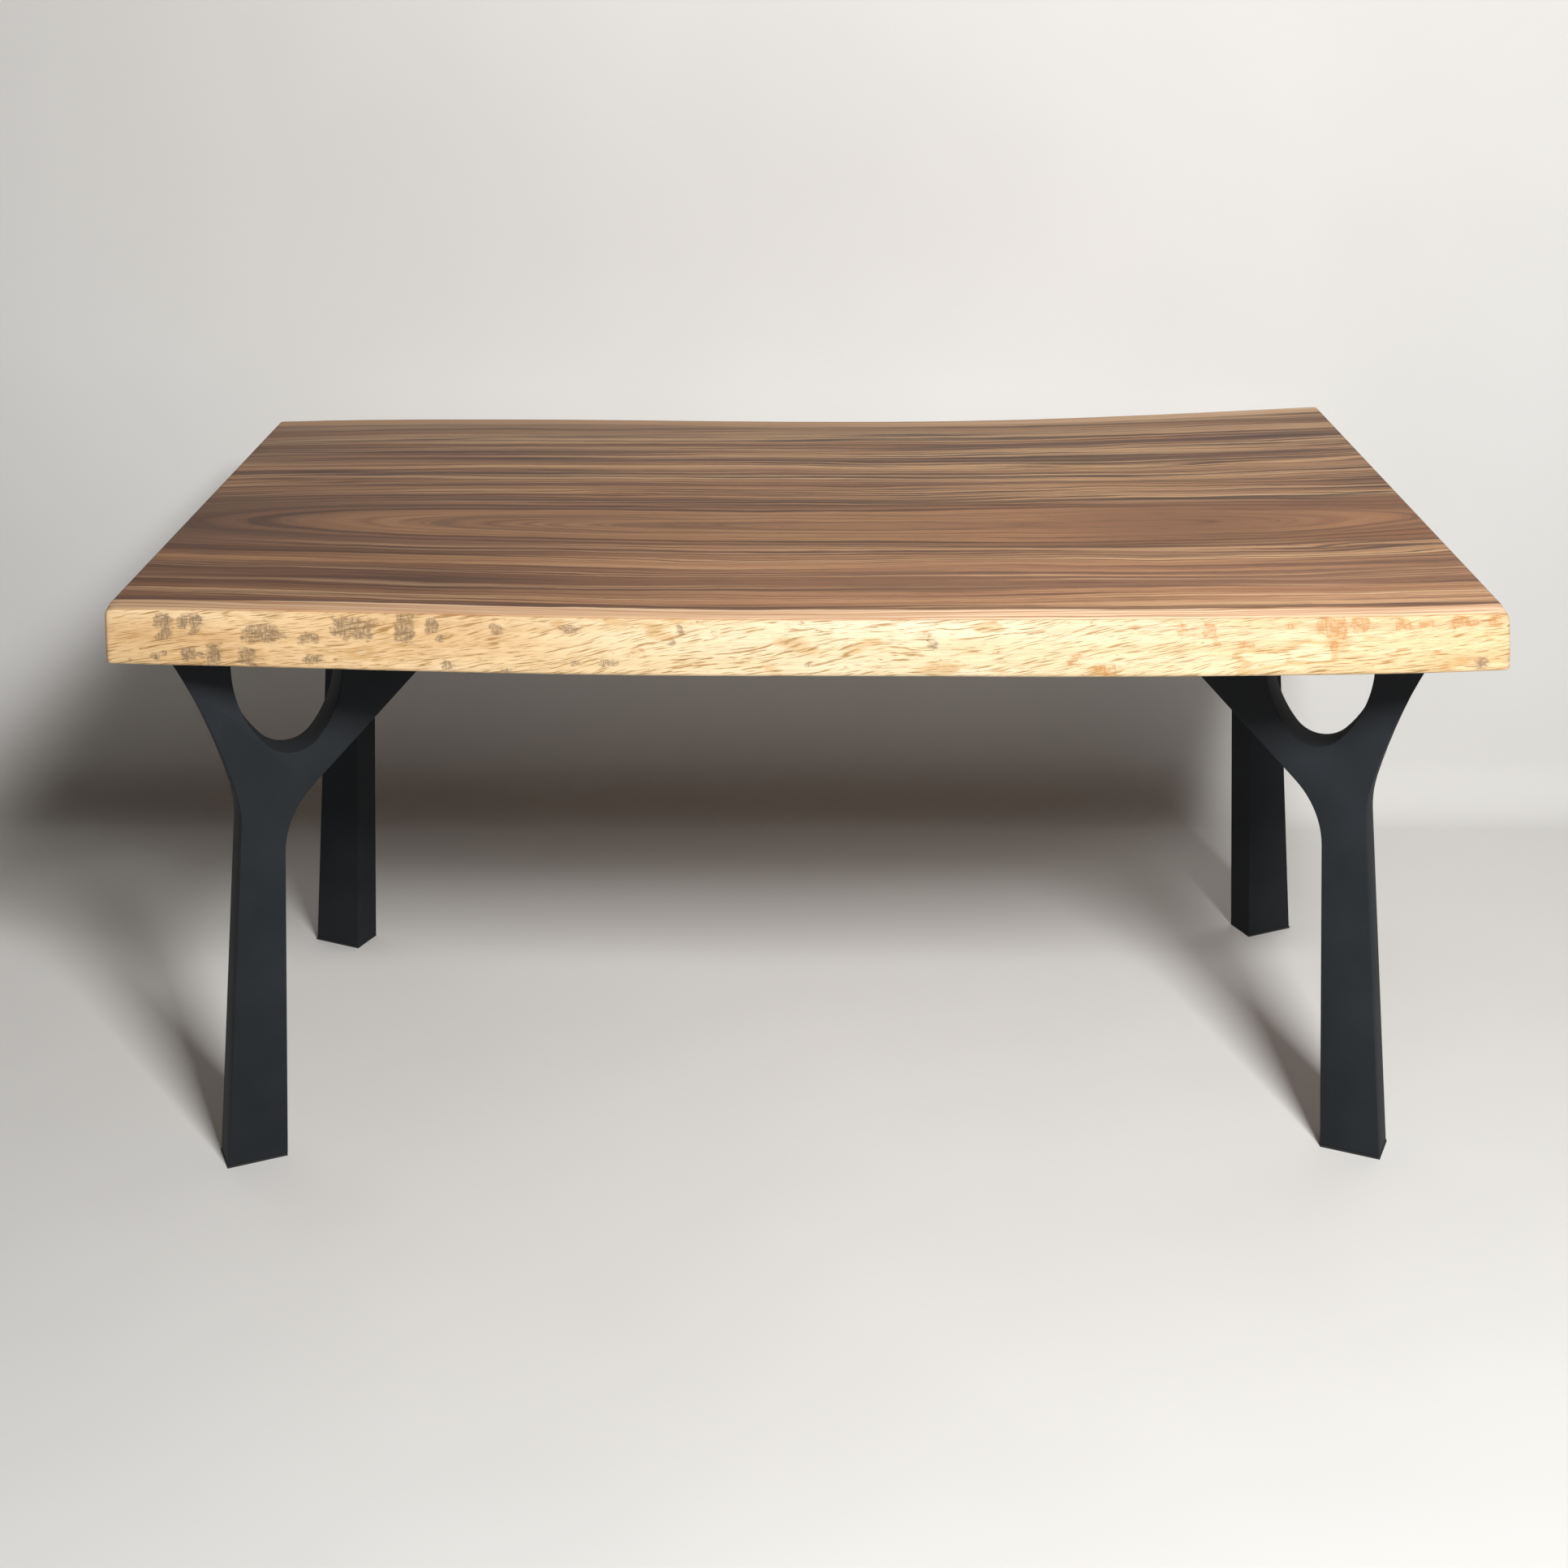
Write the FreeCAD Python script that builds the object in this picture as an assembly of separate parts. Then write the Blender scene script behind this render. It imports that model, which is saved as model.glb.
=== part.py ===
import FreeCAD
import Part
import math
import os

from FreeCAD import Vector

# Overall sizes of the table, in millimetres
height = 759.0
slab_length = 1600.0
slab_left_width = 926.0
slab_right_flare = 96.0
slab_thickness = 64.0

# Live edges of the slab: the front bows towards the sitter and both lower lips stand out
front_bow = 23.0
front_lip = 24.0
back_lip = 10.0
slab_corner_radius = 6.0
slab_arris_radius = 4.0
front_edge_shares = ((-1.0, -0.7, 0.48), (-0.67, -0.3, 0.95), (-0.29, 0.66, 0.86), (0.08, 1.0, 0.77),
                     (0.44, 0.87, 0.98), (0.7, 0.66, 1.0), (1.0, -0.08, 1.0))
back_flare_shares = ((-1.0, 0.0), (-0.53, 0.14), (-0.07, 0.0), (0.4, 0.1), (0.64, 0.4), (1.0, 1.0))
edge_level_shares = ((0.0, 1.0), (0.45, 0.68), (1.0, 0.0))

# Where the legs stand: foot centres from the slab's ends and from the line of its front right corner
foot_inset = 94.0
left_foot_setback = 92.0
right_foot_setback = 110.0
left_foot_spacing = 610.0
right_foot_spacing = 628.0
leg_turn_deg = 24.0

# Outline of a leg, seen square to its faces
foot_width = 76.0
outer_taper_deg = 6.7
outer_bend_drop = 232.0
outer_bend_radius = 143.0
outer_lean_deg = 12.0
outer_arm_radius = 780.0
inner_taper_deg = 3.95
inner_bend_drop = 272.0
inner_bend_radius = 124.0
inner_lean_deg = 46.8
fork_middle = 86.0
fork_width = 131.0
fork_depth = 143.0
fork_arch = 107.0
fork_nose_radius = 40.4

# Plate work of a leg: two faces, three edge strips, a foot plate and a top plate
leg_thickness = 48.0
face_plate = 4.0
edge_strip = 4.0
foot_plate = 6.0
foot_pad = 3.0
top_plate = 6.0
top_plate_width = 110.0
top_plate_taper = 58.0
top_plate_corner = 6.0

# Leg bolts, their washers and the threaded sleeves sunk in the slab
bolt_outer_place = 50.0
bolt_inner_place = 237.0
bolt_gauge = 80.0
bolt_diameter = 8.0
bolt_head_flats = 13.0
bolt_head_height = 5.3
bolt_reach = 18.0
slot_width = 9.0
slot_travel = 12.0
washer_diameter = 20.0
washer_thickness = 1.6
sleeve_diameter = 12.0
sleeve_length = 22.0
sleeve_hole_depth = 30.0

# Steel channels let into the underside across the grain, which keep the slab flat
channel_place = 230.0
channel_length = 640.0
channel_width = 50.0
channel_depth = 16.0
channel_wall = 4.0
channel_corner = 3.0
screw_diameter = 6.0
screw_head_flats = 10.0
screw_head_height = 4.0
screw_reach = 28.0
screw_end_margin = 45.0
screw_slot_travel = 10.0
screw_count = 4

# Fits
running_clearance = 0.15
groove_clearance = 0.3
cut_overrun = 20.0

underside = height - slab_thickness
leg_top = underside - top_plate
leg_bottom = foot_pad + foot_plate
foot_reach = slab_length / 2 - foot_inset
up = Vector(0, 0, 1)
origin = Vector(0, 0, 0)


def cylinder(radius, bottom, top, x=0, y=0):
    """A round bar that stands upright between two heights."""
    return Part.makeCylinder(radius, top - bottom, Vector(x, y, bottom), up)


def block(low, high):
    """A box between its lowest and highest corners."""
    size = high - low
    return Part.makeBox(size.x, size.y, size.z, low)


def slot(width, travel, bottom, top, run_deg, x, y):
    """A round-ended slot that runs in a given direction."""
    run = Vector(math.cos(math.radians(run_deg)), math.sin(math.radians(run_deg)), 0)
    across = Vector(-run.y, run.x, 0)
    middle = Vector(x, y, bottom)
    ends = [middle - run * (travel / 2), middle + run * (travel / 2)]
    corners = [ends[0] - across * (width / 2), ends[1] - across * (width / 2),
               ends[1] + across * (width / 2), ends[0] + across * (width / 2)]
    bends = [ends[0] - run * (width / 2), ends[1] + run * (width / 2)]
    outline = Part.Wire([Part.LineSegment(corners[0], corners[1]).toShape(),
                         Part.Arc(corners[1], bends[1], corners[2]).toShape(),
                         Part.LineSegment(corners[2], corners[3]).toShape(),
                         Part.Arc(corners[3], bends[0], corners[0]).toShape()])
    return Part.Face(outline).extrude(up * (top - bottom))


def smooth_edge(points):
    """One smooth curve through the points of a live edge."""
    curve = Part.BSplineCurve()
    curve.interpolate(points)
    return curve.toShape()


def slab_section(level_share, lip_share):
    """The slab's outline at one height, with its lips pushed out by a share of their full size."""
    z = underside + slab_thickness * level_share
    half = slab_length / 2
    front = []
    for x_share, bow_share, out_share in front_edge_shares:
        y = -front_bow * bow_share - front_lip * out_share * lip_share
        front.append(Vector(half * x_share, y, z))
    back = []
    for x_share, flare_share in reversed(back_flare_shares):
        y = slab_left_width + slab_right_flare * flare_share + back_lip * lip_share
        back.append(Vector(half * x_share, y, z))
    return Part.Wire([smooth_edge(front), Part.LineSegment(front[-1], back[0]).toShape(),
                      smooth_edge(back), Part.LineSegment(back[-1], front[0]).toShape()])


def is_corner(edge):
    """True for the four edges where a saw-cut end meets a live edge."""
    return edge.BoundBox.ZLength > slab_thickness / 2


def is_arris(edge):
    """True for the edges round the top and the underside."""
    return edge.BoundBox.ZLength < slab_thickness / 2


def make_slab():
    """The live-edge slab before anything is cut into its underside."""
    sections = [slab_section(level_share, lip_share) for level_share, lip_share in edge_level_shares]
    slab = Part.makeLoft(sections, True, False)
    slab = slab.makeFillet(slab_corner_radius, [edge for edge in slab.Edges if is_corner(edge)])
    return slab.makeFillet(slab_arris_radius, [edge for edge in slab.Edges if is_arris(edge)])


def heading(deg):
    """The direction of a line that leans by an angle from upright towards the table's middle."""
    return Vector(math.sin(math.radians(deg)), 0, math.cos(math.radians(deg)))


def bend(start, from_deg, to_deg, radius):
    """A tangent arc that leaves a point with one heading and ends with another."""
    side = math.copysign(1, to_deg - from_deg)

    def spoke(deg):
        return Vector(math.cos(math.radians(deg)), 0, -math.sin(math.radians(deg))) * (radius * side)

    centre = start + spoke(from_deg)
    middle = centre - spoke((from_deg + to_deg) / 2)
    end = centre - spoke(to_deg)
    return Part.Arc(start, middle, end).toShape(), end


def rise_along(start, deg, z):
    """The point of a leaning line at a given height."""
    run = heading(deg)
    return start + run * ((z - start.z) / run.z)


def outer_path(bottom, top):
    """The edge that faces the table's corner: a taper, a bend and a long sweep outwards."""
    start = rise_along(Vector(-foot_width / 2, 0, 0), outer_taper_deg, bottom)
    waist = rise_along(start, outer_taper_deg, leg_top - outer_bend_drop)
    bend_edge, arm = bend(waist, outer_taper_deg, -outer_lean_deg, outer_bend_radius)
    sweep_rise = (top - arm.z) / outer_arm_radius
    end_deg = math.degrees(math.asin(math.sin(math.radians(outer_lean_deg)) + sweep_rise))
    sweep_edge, end = bend(arm, -outer_lean_deg, -end_deg, outer_arm_radius)
    return [Part.LineSegment(start, waist).toShape(), bend_edge, sweep_edge], start, end


def inner_path(bottom, top):
    """The edge that faces the table's middle: nearly upright, then a bend into a straight brace."""
    start = rise_along(Vector(foot_width / 2, 0, 0), inner_taper_deg, bottom)
    waist = rise_along(start, inner_taper_deg, leg_top - inner_bend_drop)
    bend_edge, arm = bend(waist, inner_taper_deg, inner_lean_deg, inner_bend_radius)
    end = rise_along(arm, inner_lean_deg, top)
    edges = [Part.LineSegment(start, waist).toShape(), bend_edge, Part.LineSegment(arm, end).toShape()]
    return edges, start, end


def fork_path(top):
    """The opening between the arms: a three-centred arch upside down, under straight sides."""
    half = fork_width / 2
    nose_drop = fork_arch - fork_nose_radius
    side_radius = (half ** 2 + nose_drop ** 2 - fork_nose_radius ** 2) / (2 * (half - fork_nose_radius))
    bottom = leg_top - fork_depth
    shoulder = bottom + fork_arch
    nose = Vector(fork_middle, 0, bottom + fork_nose_radius)
    edges = []
    tangents = []
    for side in (-1, 1):
        centre = Vector(fork_middle + side * (half - side_radius), 0, shoulder)
        ray = nose - centre
        ray.normalize()
        tangent = nose + ray * fork_nose_radius
        level = Vector(side, 0, 0)
        halfway = ray + level
        halfway.normalize()
        rim = centre + level * side_radius
        mouth = Vector(rim.x, 0, top)
        edges.append(Part.LineSegment(mouth, rim).toShape())
        edges.append(Part.Arc(rim, centre + halfway * side_radius, tangent).toShape())
        tangents.append(tangent)
    edges.append(Part.Arc(tangents[0], nose - up * fork_nose_radius, tangents[1]).toShape())
    mouths = [Vector(fork_middle + side * half, 0, top) for side in (-1, 1)]
    return edges, mouths[0], mouths[1]


def leg_outline(bottom, top):
    """The closed Y outline of a leg between two heights."""
    outer, outer_start, outer_end = outer_path(bottom, top)
    inner, inner_start, inner_end = inner_path(bottom, top)
    fork, outer_mouth, inner_mouth = fork_path(top)
    closing = [Part.LineSegment(outer_start, inner_start).toShape(),
               Part.LineSegment(outer_end, outer_mouth).toShape(),
               Part.LineSegment(inner_mouth, inner_end).toShape()]
    edges = Part.__sortEdges__(outer + inner + fork + closing)
    return Part.Wire(edges)


def across(face, low, high):
    """A flat outline made solid between two distances through the leg's thickness."""
    face = face.copy()
    face.translate(Vector(0, low, 0))
    return face.extrude(Vector(0, high - low, 0))


def between_heights(shape, bottom, top):
    """The stretch of a leg piece between two heights."""
    reach = slab_length
    return shape.common(block(Vector(-reach, -reach, bottom), Vector(reach, reach, top)))


def leg_plates():
    """The welded pieces of one leg, in the leg's own frame with its foot centre at the origin."""
    half = leg_thickness / 2
    inside = half - face_plate
    tall = leg_outline(-cut_overrun, leg_top + cut_overrun)
    tall_face = Part.Face(tall)
    hollow_face = Part.Face(tall.makeOffset2D(-edge_strip))
    body_face = Part.Face(leg_outline(leg_bottom, leg_top))
    strips = between_heights(across(tall_face.cut(hollow_face), -inside, inside), leg_bottom, leg_top)
    outer_edge, fork_edge, inner_edge = sorted(strips.Solids, key=lambda strip: strip.CenterOfMass.x)
    whole = across(tall_face, -half, half)
    return {
        "front_plate": across(body_face, -half, -inside),
        "back_plate": across(body_face, inside, half),
        "outer_edge": outer_edge,
        "fork_edge": fork_edge,
        "inner_edge": inner_edge,
        "foot_plate": between_heights(whole, foot_pad, leg_bottom),
        "foot_pad": between_heights(whole, 0, foot_pad),
    }


def bolt_places():
    """Bolt centres of one leg, clear of its arms on both sides."""
    places = []
    for along in (bolt_outer_place, bolt_inner_place):
        for side in (-1, 1):
            places.append((along, side * bolt_gauge / 2))
    return places


def make_top_plate(grain_cross_deg):
    """The plate over both arms, with slots across the grain so that the slab can swell and shrink."""
    outer_end = outer_path(leg_bottom, leg_top)[2].x
    inner_end = inner_path(leg_bottom, leg_top)[2].x
    half = top_plate_width / 2
    narrow = leg_thickness / 2
    side = [(outer_end, narrow), (outer_end + top_plate_taper, half),
            (inner_end - top_plate_taper, half), (inner_end, narrow)]
    corners = [Vector(u, v, leg_top) for u, v in side]
    corners += [Vector(u, -v, leg_top) for u, v in reversed(side)]
    plate = Part.Face(Part.makePolygon(corners + corners[:1])).extrude(up * top_plate)
    uprights = [edge for edge in plate.Edges if edge.BoundBox.ZLength > top_plate / 2]
    plate = plate.makeFillet(top_plate_corner, uprights)
    for u, v in bolt_places():
        plate = plate.cut(slot(slot_width, slot_travel, leg_top - cut_overrun, underside + cut_overrun,
                               grain_cross_deg, u, v))
    return plate


def hexagon_bar(flats, bottom, top, x, y):
    """A six-sided bar that stands upright between two heights."""
    corner = flats / math.sqrt(3)
    angles = [k * math.pi / 3 for k in range(7)]
    ring = [Vector(x + corner * math.cos(a), y + corner * math.sin(a), bottom) for a in angles]
    return Part.Face(Part.makePolygon(ring)).extrude(up * (top - bottom))


def make_bolt(u, v):
    """A hexagon-head bolt, head down under its washer."""
    head_top = leg_top - washer_thickness
    head = hexagon_bar(bolt_head_flats, head_top - bolt_head_height, head_top, u, v)
    return head.fuse(cylinder(bolt_diameter / 2, head_top, underside + bolt_reach, u, v))


def make_washer(u, v):
    """A flat washer under the top plate."""
    disc = cylinder(washer_diameter / 2, leg_top - washer_thickness, leg_top, u, v)
    bore = bolt_diameter / 2 + running_clearance
    return disc.cut(cylinder(bore, leg_top - cut_overrun, leg_top + cut_overrun, u, v))


def make_sleeve(u, v):
    """A threaded sleeve sunk flush in the slab's underside."""
    sleeve = cylinder(sleeve_diameter / 2, underside, underside + sleeve_length, u, v)
    bore = bolt_diameter / 2 + running_clearance
    return sleeve.cut(cylinder(bore, underside - cut_overrun, underside + sleeve_length + cut_overrun, u, v))


def make_channel():
    """A rolled channel with its web flush below and its flanges up in the slab."""
    half_length = channel_length / 2
    half = channel_width / 2
    rim = underside + channel_depth
    outer = block(Vector(-half, -half_length, underside), Vector(half, half_length, rim))
    lower = [edge for edge in outer.Edges
             if edge.BoundBox.YLength > half_length and edge.BoundBox.ZMax < rim - channel_depth / 2]
    outer = outer.makeFillet(channel_corner, lower)
    trough = block(Vector(channel_wall - half, -half_length - cut_overrun, underside + channel_wall),
                   Vector(half - channel_wall, half_length + cut_overrun, rim + cut_overrun))
    channel = outer.cut(trough)
    for y in screw_places():
        bore = screw_diameter + 2 * groove_clearance
        channel = channel.cut(slot(bore, screw_slot_travel, underside - cut_overrun, rim, 90, 0, y))
    return channel


def screw_places():
    """Screw centres along a channel, evenly spaced between its end margins."""
    first = screw_end_margin - channel_length / 2
    pitch = -2 * first / (screw_count - 1)
    return [first + pitch * k for k in range(screw_count)]


def make_screw(y):
    """A hexagon-head wood screw driven up through a slot of the channel."""
    head = hexagon_bar(screw_head_flats, underside - screw_head_height, underside, 0, y)
    return head.fuse(cylinder(screw_diameter / 2, underside, underside + screw_reach, 0, y))


def channel_groove():
    """The room that a channel and its screws need in the slab."""
    half_length = channel_length / 2 + groove_clearance
    half = channel_width / 2 + groove_clearance
    floor = underside + channel_wall
    web = block(Vector(-half, -half_length, underside - cut_overrun), Vector(half, half_length, floor))
    cuts = [web]
    for side in (-1, 1):
        middle = side * (channel_width - channel_wall) / 2
        kerf = channel_wall / 2 + groove_clearance
        cuts.append(block(Vector(middle - kerf, -half_length, underside - cut_overrun),
                          Vector(middle + kerf, half_length, underside + channel_depth + groove_clearance)))
    for y in screw_places():
        cuts.append(cylinder(screw_diameter / 2 + running_clearance, underside - cut_overrun,
                             underside + screw_reach + groove_clearance, 0, y))
    return Part.makeCompound(cuts)


def placed(shape, x, y, turn_deg=0.0):
    """A copy of a piece, turned about the upright axis and mirrored where it stands right of the middle."""
    shape = shape.copy()
    shape.rotate(origin, up, turn_deg)
    if x > 0:
        shape = shape.mirror(origin, Vector(1, 0, 0))
    shape.translate(Vector(x, y, 0))
    return shape


legs = {
    "front_left": (-foot_reach, left_foot_setback, leg_turn_deg),
    "front_right": (foot_reach, right_foot_setback, leg_turn_deg),
    "rear_left": (-foot_reach, left_foot_setback + left_foot_spacing, -leg_turn_deg),
    "rear_right": (foot_reach, right_foot_setback + right_foot_spacing, -leg_turn_deg),
}
channels = {"left": -channel_place, "right": channel_place}
channel_middle = slab_left_width / 2

nodes = {}
plates = leg_plates()
plates["bolts"] = Part.makeCompound([make_bolt(u, v) for u, v in bolt_places()])
plates["washers"] = Part.makeCompound([make_washer(u, v) for u, v in bolt_places()])
plates["sleeves"] = Part.makeCompound([make_sleeve(u, v) for u, v in bolt_places()])
sleeve_bore = sleeve_diameter / 2 + running_clearance
sleeve_top = underside + sleeve_hole_depth
sleeve_holes = Part.makeCompound([cylinder(sleeve_bore, underside - cut_overrun, sleeve_top, u, v)
                                  for u, v in bolt_places()])

slab_cuts = []
for corner, (x, y, turn_deg) in legs.items():
    for piece, shape in plates.items():
        nodes[corner + "_leg_" + piece] = placed(shape, x, y, turn_deg)
    nodes[corner + "_leg_top_plate"] = placed(make_top_plate(90 - turn_deg), x, y, turn_deg)
    slab_cuts.append(placed(sleeve_holes, x, y, turn_deg))

channel = make_channel()
screws = Part.makeCompound([make_screw(y) for y in screw_places()])
groove = channel_groove()
for side, x in channels.items():
    nodes[side + "_underside_channel"] = placed(channel, x, channel_middle)
    nodes[side + "_channel_screws"] = placed(screws, x, channel_middle)
    slab_cuts.append(placed(groove, x, channel_middle))

slab = make_slab()
slab_middle = slab.optimalBoundingBox().Center
to_origin = Vector(-slab_middle.x, -slab_middle.y, 0)
for cut in slab_cuts:
    slab = slab.cut(cut)
nodes["live_edge_slab"] = slab

os.makedirs("parts", exist_ok=True)
for name, shape in nodes.items():
    shape.translate(to_origin)
    solids = shape.Solids
    kept = solids[0] if len(solids) == 1 else Part.makeCompound(solids)
    kept.exportStep("parts/" + name + ".step")
    print(name, len(solids), round(kept.Volume), kept.isValid())
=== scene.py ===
import math

import bmesh
import bpy
from mathutils import Matrix, Vector, noise
from mathutils.bvhtree import BVHTree


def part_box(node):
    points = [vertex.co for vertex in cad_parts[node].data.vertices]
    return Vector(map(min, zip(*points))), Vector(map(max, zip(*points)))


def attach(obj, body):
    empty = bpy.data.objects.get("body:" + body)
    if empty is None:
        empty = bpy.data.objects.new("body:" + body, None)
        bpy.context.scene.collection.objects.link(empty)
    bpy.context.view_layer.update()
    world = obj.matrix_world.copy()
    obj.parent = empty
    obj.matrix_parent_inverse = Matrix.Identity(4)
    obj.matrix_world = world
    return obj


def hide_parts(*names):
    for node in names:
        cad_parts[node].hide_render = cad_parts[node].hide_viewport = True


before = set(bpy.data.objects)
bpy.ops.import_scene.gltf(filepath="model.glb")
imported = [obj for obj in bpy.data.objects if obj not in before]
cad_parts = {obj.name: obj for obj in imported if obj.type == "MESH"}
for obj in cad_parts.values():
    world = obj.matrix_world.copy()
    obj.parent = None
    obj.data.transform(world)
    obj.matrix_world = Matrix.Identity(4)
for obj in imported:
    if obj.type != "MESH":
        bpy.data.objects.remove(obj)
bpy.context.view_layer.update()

# The slab: one thick board of suar, sawn through the whole log so that both long edges are live.
# The bark is peeled, the live faces are sanded by hand, the ends are sawn square, and the whole
# board is oiled. Two pockets below take the steel channels that keep it flat.
mm = 0.001
slab_low, slab_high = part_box("live_edge_slab")
slab_size = slab_high - slab_low
slab_middle = (slab_low + slab_high) / 2
corner_radius = 6 * mm
arris_radius = 4 * mm
end_zone = 12 * mm
station_pitch = 3 * mm
sanding = {"top": 12 * mm, "bottom": 7 * mm}
sanded_depth = 34 * mm
sanded_rows = (75 * mm, 84 * mm, 96 * mm)
pocket_depth = 4.3 * mm
pocket_clearance = 0.3 * mm
flat_cosine = 0.99
slab_crease = math.radians(40)


def ease(mesh, edges, radius, segments):
    """Rounds some edges of a mesh."""
    bmesh.ops.bevel(mesh, geom=edges, offset=radius, offset_type="OFFSET", segments=segments, profile=0.5,
                    affect="EDGES", material=-1)


slab = bmesh.new()
bmesh.ops.create_cube(slab, size=1, matrix=Matrix.LocRotScale(slab_middle, None, slab_size))
uprights = [e for e in slab.edges if abs(e.verts[0].co.z - e.verts[1].co.z) > slab_size.z / 2]
ease(slab, uprights, corner_radius, segments=5)
rims = [e for e in slab.edges if abs(e.verts[0].co.z - e.verts[1].co.z) < mm]
ease(slab, rims, arris_radius, segments=4)


def bisect(mesh, point, normal, faces=None):
    """Cuts a mesh, or some of its faces, along a plane and keeps both sides."""
    faces = mesh.faces[:] if faces is None else faces
    edges = dict.fromkeys(e for f in faces for e in f.edges)
    verts = dict.fromkeys(v for f in faces for v in f.verts)
    bmesh.ops.bisect_plane(mesh, geom=[*verts, *edges, *faces], dist=1e-6, plane_co=point, plane_no=normal)


for side in (-1, 1):
    bisect(slab, Vector((side * (slab_size.x / 2 - end_zone), 0, 0)), Vector((1, 0, 0)))
# The eased arrises take up the lowest and the highest level, so no cut is made there.
levels = round(slab_size.z / station_pitch)
for level in range(2, levels - 1):
    bisect(slab, Vector((0, 0, slab_low.z + slab_size.z * level / levels)), Vector((0, 0, 1)))
for inset in sanded_rows:
    bisect(slab, Vector((0, slab_low.y + inset, 0)), Vector((0, 1, 0)))
lengthwise = [e for e in slab.edges if abs(e.verts[0].co.x - e.verts[1].co.x) > slab_size.x / 2]
stations = round(slab_size.x / station_pitch)
bmesh.ops.subdivide_edges(slab, edges=lengthwise, cuts=stations, use_grid_fill=True)


def underside(first, last):
    """The faces of the slab's underside whose middle lies between two places along the slab."""
    below = [f for f in slab.faces if f.normal.z < -flat_cosine]
    return [f for f in below if first < f.calc_center_median().x < last]


for channel in ("left_underside_channel", "right_underside_channel"):
    low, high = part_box(channel)
    low = low - Vector((pocket_clearance, pocket_clearance, 0))
    high = high + Vector((pocket_clearance, pocket_clearance, 0))
    for x in (low.x, high.x):
        near = underside(x - 2 * station_pitch, x + 2 * station_pitch)
        bisect(slab, Vector((x, 0, 0)), Vector((1, 0, 0)), near)
    for y in (low.y, high.y):
        bisect(slab, Vector((0, y, 0)), Vector((0, 1, 0)), underside(low.x, high.x))
    pocket = [f for f in underside(low.x, high.x) if low.y < f.calc_center_median().y < high.y]
    raised = bmesh.ops.extrude_face_region(slab, geom=pocket)["geom"]
    raised_verts = [v for v in raised if isinstance(v, bmesh.types.BMVert)]
    bmesh.ops.translate(slab, vec=(0, 0, pocket_depth), verts=raised_verts)
    bmesh.ops.delete(slab, geom=pocket, context="FACES")

# The live faces follow the solid, with the slow swell of hand sanding on top. Where the bark clung, it left
# blocky scars: grey-brown ones, mostly on the left, and tan ones, mostly on the right. Each has its place
# along the slab, its height above the floor, its length and its tallness in mm, and its strength.
bark_scars = (
    (-734, 745, 19, 17, 1.0), (-729, 731, 19, 12, 0.8), (-710, 743, 10, 14, 1.0), (-695, 742, 16, 20, 0.9),
    (-619, 734, 45, 20, 0.9), (-564, 730, 22, 15, 0.6), (-513, 741, 46, 21, 1.0), (-455, 740, 20, 31, 1.0),
    (-423, 746, 14, 15, 0.9), (-413, 732, 10, 8, 0.7), (-349, 744, 16, 11, 0.7), (-266, 744, 23, 9, 0.7),
    (-742, 706, 11, 9, 0.8), (-732, 710, 7, 6, 0.8), (-703, 709, 17, 14, 1.0), (-690, 710, 8, 8, 0.8),
    (-674, 709, 17, 23, 0.9), (-636, 708, 18, 16, 1.0), (-559, 707, 25, 10, 0.8), (-406, 703, 11, 8, 0.9),
    (-334, 700, 26, 6, 0.6), (-260, 709, 11, 7, 0.6), (-219, 710, 23, 10, 0.6), (-142, 748, 10, 10, 0.5),
    (-149, 732, 10, 10, 0.4), (-102, 742, 13, 9, 0.5), (3, 710, 8, 8, 0.6), (142, 732, 14, 10, 0.6),
    (765, 705, 15, 17, 0.8))
tan_scars = (
    (-189, 724, 19, 13, 0.4), (135, 744, 13, 7, 0.5), (425, 747, 17, 15, 0.6), (456, 746, 19, 15, 0.6),
    (463, 734, 7, 11, 0.6), (595, 747, 32, 20, 1.0), (627, 749, 20, 15, 1.0), (676, 749, 18, 12, 0.9),
    (705, 748, 22, 11, 0.6), (743, 750, 28, 12, 0.9), (781, 750, 15, 11, 0.8), (496, 730, 22, 11, 0.6),
    (596, 728, 9, 11, 0.8), (663, 719, 19, 7, 0.5), (551, 748, 22, 11, 0.5), (306, 716, 26, 14, 0.4),
    (338, 704, 30, 14, 0.45), (715, 716, 28, 8, 0.4))
# A pale swirl with a tan outline lies over the right leg.
swirls = ((518, 712, 58, 24, 1.0), (572, 721, 70, 32, 1.0))
scar_depth = 0.7 * mm
blockiness = 4
scar_edge = 1.5
swell = 1.2 * mm
swell_middle = 0.6
slow_wave = {"along": 210 * mm, "up": 90 * mm, "row": 3}
quick_wave = {"along": 50 * mm, "up": 30 * mm, "row": 1, "share": 0.4}
flat_margin = 1.2
solid = bmesh.new()
solid.from_mesh(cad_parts["live_edge_slab"].data)
solid_tree = BVHTree.FromBMesh(solid)
solid.free()
flat_low = slab_low + Vector((corner_radius, 0, arris_radius)) * flat_margin
flat_high = slab_high - Vector((corner_radius, 0, arris_radius)) * flat_margin


def live_edge(x, z, side):
    """Where the solid's front or back live face stands at a place along the slab and a height."""
    x = min(max(x, flat_low.x), flat_high.x)
    z = min(max(z, flat_low.z), flat_high.z)
    far = Vector((x, side * 2 * slab_size.y, z))
    return solid_tree.ray_cast(far, Vector((0, -side, 0)))[0].y


def sanding_swell(x, z, side):
    """How far a live face stands proud of the solid after sanding, as a share of the swell."""
    slow = noise.noise(Vector((x / slow_wave["along"], side * slow_wave["row"], z / slow_wave["up"])))
    quick = noise.noise(Vector((x / quick_wave["along"], side * quick_wave["row"], z / quick_wave["up"])))
    return slow + quick_wave["share"] * quick - swell_middle


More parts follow.
